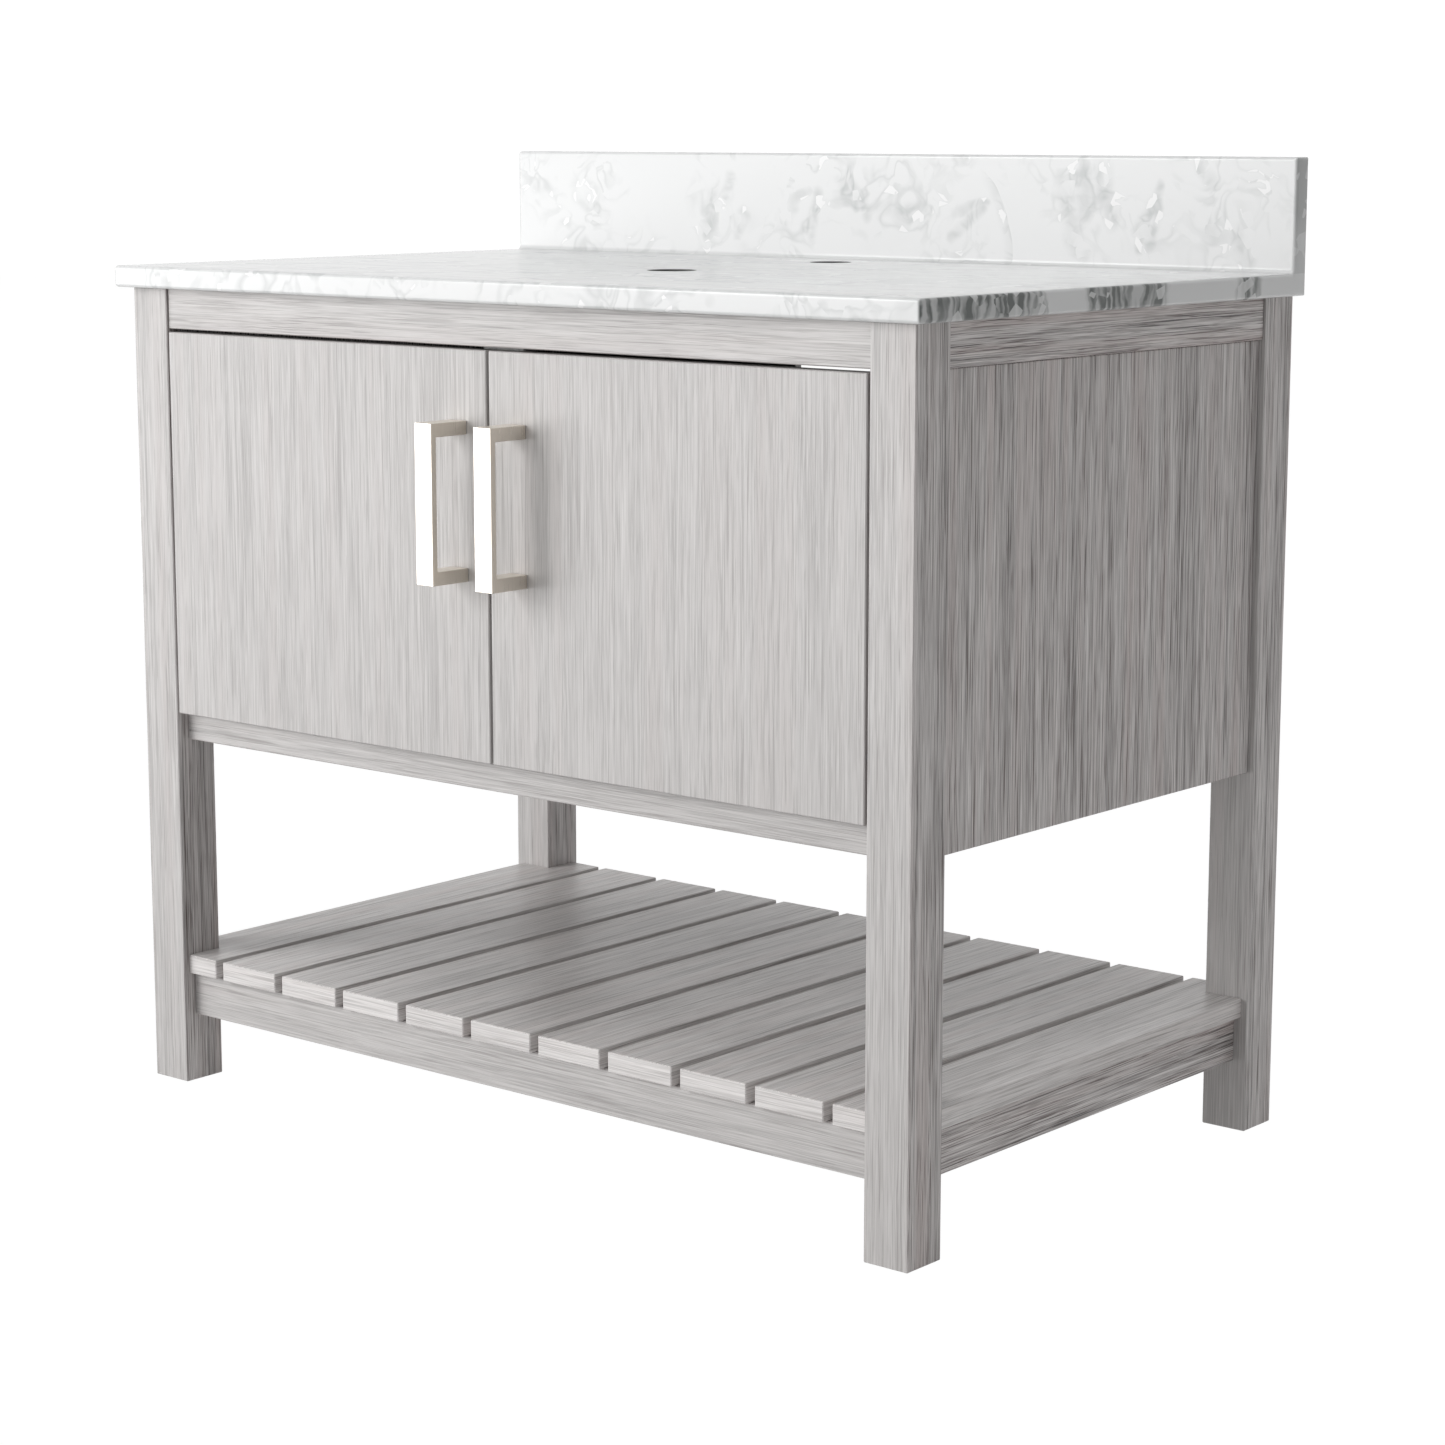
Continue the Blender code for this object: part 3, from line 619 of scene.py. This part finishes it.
def faint_veins(tree, place):
    """Fainter veins through all of the stone, in patches."""
    clouds = plain_noise(tree, place, CLOUD_CELLS, 2.0)
    lines = plain_noise(tree, place, LINE_CELLS, 1.5, 1.4)
    ridge = maths(tree, "ABSOLUTE", maths(tree, "SUBTRACT", lines, 0.5), 0)
    return maths(tree, "MULTIPLY", remap(tree, ridge, 0.0, 0.08, FAINT_DEPTH, 0.0),
                 remap(tree, clouds, 0.44, 0.62))


def top_layers(tree, place):
    """Thin layers that show as long streaks across faces that look upward."""
    layers = plain_noise(tree, vector_maths(tree, "MULTIPLY", place, LAYER_CELLS), 1.0, 2.0)
    normal = add_node(tree, "ShaderNodeNewGeometry").outputs["Normal"]
    parts = add_node(tree, "ShaderNodeSeparateXYZ", {0: normal})
    upward = remap(tree, parts.outputs[2], 0.5, 0.9)
    return maths(tree, "MULTIPLY", remap(tree, layers, 0.44, 0.68, 0.0, LAYER_DEPTH), upward)


def sawn_depth(tree, place, where):
    """How deep the colour is on a sawn end, where the veins stand upright."""
    low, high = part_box("countertop")
    bent = vector_maths(tree, "ADD", place, centred_noise(tree, where, *END_BEND))
    bent_parts = add_node(tree, "ShaderNodeSeparateXYZ", {0: bent})
    back = remap(tree, bent_parts.outputs[1], low.y, high.y)
    bands = 0.0
    for first, last in END_BANDS:
        band = maths(tree, "MINIMUM", remap(tree, back, first - BAND_FADE, first + BAND_FADE),
                     remap(tree, back, last - BAND_FADE, last + BAND_FADE, 1.0, 0.0))
        bands = maths(tree, "MAXIMUM", bands, band)
    stripes = plain_noise(tree, vector_maths(tree, "MULTIPLY", bent, STRIPE_CELLS), 1.0, 1.0)
    slab = maths(tree, "MULTIPLY", remap(tree, stripes, 0.38, 0.62, 0.30, 0.95), bands)
    splash = remap(tree, bent_parts.outputs[2], high.z + 0.018, high.z + 0.052, 0.18, 0.42)
    parts = add_node(tree, "ShaderNodeSeparateXYZ", {0: where})
    on_splash = maths(tree, "GREATER_THAN", parts.outputs[2], high.z)
    return maths(tree, "MAXIMUM", maths(tree, "MULTIPLY", slab, maths(tree, "SUBTRACT", 1.0, on_splash)),
                 maths(tree, "MULTIPLY", splash, on_splash))


def make_marble():
    """White marble with soft grey veins and small broken flakes, deeper in colour at the cut ends."""
    material, tree, shader = principled("white_marble", roughness=0.2)
    where = add_node(tree, "ShaderNodeTexCoord").outputs["Object"]
    # Chips: some are clean stone, and some carry the pattern of another place.
    chips = add_node(tree, "ShaderNodeTexVoronoi", {"Vector": where, "Scale": CHIP_CELLS})
    chip = add_node(tree, "ShaderNodeSeparateColor", {0: chips.outputs["Color"]})
    slipped = maths(tree, "GREATER_THAN", chip.outputs[1], SLIPPED_ABOVE)
    slip = add_node(tree, "ShaderNodeVectorMath", {0: chips.outputs["Color"], "Scale": slipped},
                    operation="SCALE").outputs[0]
    slip = vector_maths(tree, "MULTIPLY", slip, (SLIP_REACH,) * 3)
    place = vector_maths(tree, "ADD", where, slip)
    place = vector_maths(tree, "ADD", place, centred_noise(tree, where, *BROAD_BEND))
    place = vector_maths(tree, "ADD", place, centred_noise(tree, where, *FINE_BEND))
    veins = maths(tree, "MAXIMUM", splash_veins(tree, place), plate_shade(tree, where))
    # Each vein is drawn out in strands of its own.
    strands = plain_noise(tree, place, STRAND_CELLS, 1.5, 1.2)
    strands = maths(tree, "ABSOLUTE", maths(tree, "SUBTRACT", strands, 0.5), 0)
    veins = maths(tree, "MULTIPLY", veins, remap(tree, strands, 0.0, 0.14, 1.25, 0.45))
    veins = maths(tree, "ADD", maths(tree, "ADD", veins, faint_veins(tree, place)),
                  top_layers(tree, place))
    clean = maths(tree, "MULTIPLY", maths(tree, "GREATER_THAN", chip.outputs[0], CLEAN_ABOVE),
                  maths(tree, "GREATER_THAN", veins, CLEAN_IN_VEINS))
    veins = maths(tree, "MULTIPLY", veins, maths(tree, "SUBTRACT", 1.0, clean))
    white = mixed_colour(tree, clean, STONE_WHITE, CLEAN_WHITE)
    colour = mixed_colour(tree, veins, white, STONE_GREY)
    # The sawn ends of the slab and the splash.
    end_chip = maths(tree, "GREATER_THAN", chip.outputs[2], END_CHIP_ABOVE)
    deep = maths(tree, "MULTIPLY", sawn_depth(tree, place, where),
                 remap(tree, end_chip, 0.0, 1.0, 1.0, 0.25))
    # The ends' clean stone is lightened: painted light for the shaded end.
    end_colour = mixed_colour(tree, deep, tuple(END_PAINTED_LIGHT * c for c in STONE_WHITE), STONE_DEEP)
    parts = add_node(tree, "ShaderNodeSeparateXYZ", {0: where})
    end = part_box("countertop")[1].x
    on_end = remap(tree, maths(tree, "ABSOLUTE", parts.outputs[0], 0), end - END_SKIN[0], end - END_SKIN[1])
    connect(tree, shader, {"Base Color": mixed_colour(tree, on_end, colour, end_colour)})
    return material


marble = make_marble()
# The holes' walls are painted near black, a painted shade for the inside of the holes, and are a little
# uneven from the core drill.
GRIT_CELLS = 700.0
hole_painted_shade, tree, shader = principled("drilled_stone_painted_shade", (0.06, 0.06, 0.06), 0.8)
where = add_node(tree, "ShaderNodeTexCoord").outputs["Object"]
grit = plain_noise(tree, where, GRIT_CELLS, 2.0)
grit_bump = add_node(tree, "ShaderNodeBump", {"Strength": 0.4, "Distance": 0.0002, "Height": grit})
connect(tree, shader, {"Base Color": mixed_colour(tree, grit, (0.04, 0.04, 0.04), (0.08, 0.08, 0.08)),
                       "Roughness": remap(tree, grit, 0.3, 0.7, 0.70, 0.90),
                       "Normal": grit_bump.outputs[0]})


def drill_slab(piece, opening, radius):
    """Drill the slab over an opening that the record states."""
    found = next(o for o in frame["record"]["physics"]["openings"] if o["name"] == opening)
    low, high = (Vector(corner) for corner in found["box_m"])
    slab_low, slab_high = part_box("countertop")
    drill = core_drill(opening + "_drill", (low + high) / 2, radius, slab_low.z, slab_high.z)
    drill.data.materials.append(hole_painted_shade)
    boolean = piece.modifiers.new(opening, "BOOLEAN")
    boolean.operation = "DIFFERENCE"
    boolean.solver = "EXACT"
    boolean.material_mode = "TRANSFER"
    boolean.object = drill
    with bpy.context.temp_override(object=piece):
        bpy.ops.object.modifier_apply(modifier=opening)
    bpy.data.objects.remove(drill)


slab = add_piece("marble_slab", mesh_of("marble_slab", stone_body(slab_outline)))
splash = add_piece("marble_splash", mesh_of("marble_splash", stone_body(splash_outline)))
for piece in (slab, splash):
    piece.data.materials.append(marble)
drill_slab(slab, "drain_hole", DRAIN_RADIUS)
drill_slab(slab, "faucet_hole", FAUCET_RADIUS)

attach(slab, "cabinet")
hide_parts("countertop")
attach(splash, "cabinet")
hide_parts("backsplash")
shade_smooth(slab.data, 35)
shade_smooth(splash.data, 35)

# Doors ----------------------------------------------------------------------------------------
# Flush veneered doors with the grain upright, each cut from its own place on the sheet, and with
# edging on all sides. Their grain is painted much quieter than the frame's: painted light, washed out as by
# the strong front light.
DOOR_CONTRAST = 0.40
for name in ("door_left", "door_right"):
    finish_node(name, ash_material(name, "Z", DOOR_CONTRAST))

# Pulls ----------------------------------------------------------------------------------------
# Square bar pulls of brushed nickel, each cut from one bar and held by two screws from inside.
# The brushing runs along the bar.
NICKEL = (0.800, 0.745, 0.665)
NICKEL_ROUGHNESS = 0.34
BRUSHING = (2600, 2600, 24)     # cells per metre
BRUSHING_DEPTH = 0.00004


def brushed_metal(name, colour, roughness, cells, depth):
    """Metal with fine brushing: streaks in its shine, its colour and its surface."""
    material, tree, shader = principled(name, colour, roughness, 1.0)
    where = add_node(tree, "ShaderNodeTexCoord").outputs["Object"]
    streaks = plain_noise(tree, vector_maths(tree, "MULTIPLY", where, cells), 1.0, 2.0)
    patches = plain_noise(tree, where, 45.0, 1.0)
    shine = maths(tree, "ADD", remap(tree, streaks, 0.3, 0.7, roughness - 0.06, roughness + 0.06),
                  remap(tree, patches, 0.35, 0.65, -0.02, 0.02))
    tint = mixed_colour(tree, remap(tree, streaks, 0.3, 0.7), tuple(0.92 * c for c in colour), colour)
    bump = add_node(tree, "ShaderNodeBump", {"Strength": 0.25, "Distance": depth, "Height": streaks})
    connect(tree, shader, {"Base Color": tint, "Roughness": shine, "Normal": bump.outputs[0]})
    return material


nickel = brushed_metal("brushed_nickel", NICKEL, NICKEL_ROUGHNESS, BRUSHING, BRUSHING_DEPTH)
for name in ("handle_left", "handle_right"):
    finish_node(name, nickel)

# Hinges, screws and strikes -------------------------------------------------------------------
# Zinc-plated steel: barrels pressed into the legs and the doors' edges, with a curved link between
# them, the screws that hold the pulls, and two small plates that the catch pulls on.
ZINC = (0.66, 0.67, 0.68)
ZINC_ROUGHNESS = 0.38
ZINC_SPANGLE = (420, 420, 420)  # cells per metre
ZINC_DEPTH = 0.00006
zinc = brushed_metal("zinc_steel", ZINC, ZINC_ROUGHNESS, ZINC_SPANGLE, ZINC_DEPTH)
for name in nodes:
    if "hinge" in name or "strike" in name:
        finish_node(name, zinc)

# The screws have a shallow domed head with a cross in it.
SCREW_SHANK = 0.002
SCREW_HEAD = 0.0025             # height of the head
SCREW_RIM = 0.0009              # straight part of the head, under its dome
CROSS = {"reach": 0.0022, "width": 0.0009, "depth": 0.0015, "taper": 0.55}
SCREW_POINT = 0.7               # the shank's tip, as a share of its radius
SCREW_BEVEL = 0.0008
SCREW_STEPS = 48
DOME_STEPS = 8


def turned(name, profile, steps):
    """A body turned about the Y axis from (radius, y) points that start and end on the axis."""
    bm = bmesh.new()
    ends = [bm.verts.new((0, y, 0)) for y in (profile[0][1], profile[-1][1])]
    rings = []
    for radius, y in profile[1:-1]:
        turn = (2 * math.pi * i / steps for i in range(steps))
        rings.append([bm.verts.new((radius * math.cos(t), y, radius * math.sin(t))) for t in turn])
    for i in range(steps):
        j = (i + 1) % steps
        bm.faces.new((ends[0], rings[0][i], rings[0][j]))
        bm.faces.new((ends[1], rings[-1][j], rings[-1][i]))
        for first, second in zip(rings, rings[1:]):
            bm.faces.new((first[i], second[i], second[j], first[j]))
    bmesh.ops.recalc_face_normals(bm, faces=bm.faces)
    return mesh_of(name, bm)


def cross_blade(name, reach, width, top):
    """One blade of a cross driver, narrower at its foot, that reaches into a screw's head."""
    bm = bmesh.new()
    corners = []
    for y, share in ((top - CROSS["depth"], CROSS["taper"]), (top + CROSS["depth"], 2 - CROSS["taper"])):
        for x, z in ((-1, -1), (1, -1), (1, 1), (-1, 1)):
            corners.append(bm.verts.new((x * reach * share, y, z * width / 2 * share)))
    bmesh.ops.convex_hull(bm, input=corners)
    return add_piece(name, mesh_of(name, bm))


for name in sorted(n for n in nodes if n.startswith("handle_screw")):
    low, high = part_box(name)
    middle, seat, rim = (low + high) / 2, high.y - SCREW_HEAD, (high.x - low.x) / 2
    dome = [(rim * math.cos(t), seat + SCREW_RIM + (SCREW_HEAD - SCREW_RIM) * math.sin(t))
            for t in (i / DOME_STEPS * math.pi / 2 for i in range(DOME_STEPS + 1))]
    profile = [(0, low.y), (SCREW_POINT * SCREW_SHANK, low.y), (SCREW_SHANK, low.y + SCREW_BEVEL),
               (SCREW_SHANK, seat), (rim, seat), *dome[:-1], (0, high.y)]
    screw = add_piece("cross_" + name, turned("cross_" + name, profile, SCREW_STEPS))
    screw.data.materials.append(zinc)
    for blade_turn in (45, 135):
        blade = cross_blade(name + "_blade", CROSS["reach"], CROSS["width"], high.y)
        blade.rotation_euler.y = math.radians(blade_turn)
        cut = screw.modifiers.new("cross", "BOOLEAN")
        cut.operation = "DIFFERENCE"
        cut.solver = "EXACT"
        cut.object = blade
        with bpy.context.temp_override(object=screw):
            bpy.ops.object.modifier_apply(modifier=cut.name)
        bpy.data.objects.remove(blade)
    screw.location = (middle.x, 0, middle.z)
    shade_smooth(screw.data, 30)
    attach(screw, "left_door" if "left" in name else "right_door")
    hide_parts(name)

# Catch ----------------------------------------------------------------------------------------
# A double magnetic catch in a moulded white case, screwed up behind the top rail. The moulding has
# a faint orange peel.
PEEL_CELLS = 900.0
PEEL_DEPTH = 0.00005
moulded, tree, shader = principled("white_plastic", (0.72, 0.72, 0.71), 0.45)
where = add_node(tree, "ShaderNodeTexCoord").outputs["Object"]
orange_peel = plain_noise(tree, where, PEEL_CELLS, 1.0)
peel_bump = add_node(tree, "ShaderNodeBump", {"Strength": 0.2, "Distance": PEEL_DEPTH, "Height": orange_peel})
peel_tint = mixed_colour(tree, orange_peel, (0.70, 0.70, 0.69), (0.76, 0.76, 0.75))
connect(tree, shader, {"Roughness": remap(tree, orange_peel, 0.3, 0.7, 0.38, 0.52),
                       "Normal": peel_bump.outputs[0], "Base Color": peel_tint})
finish_node("magnetic_catch", moulded)
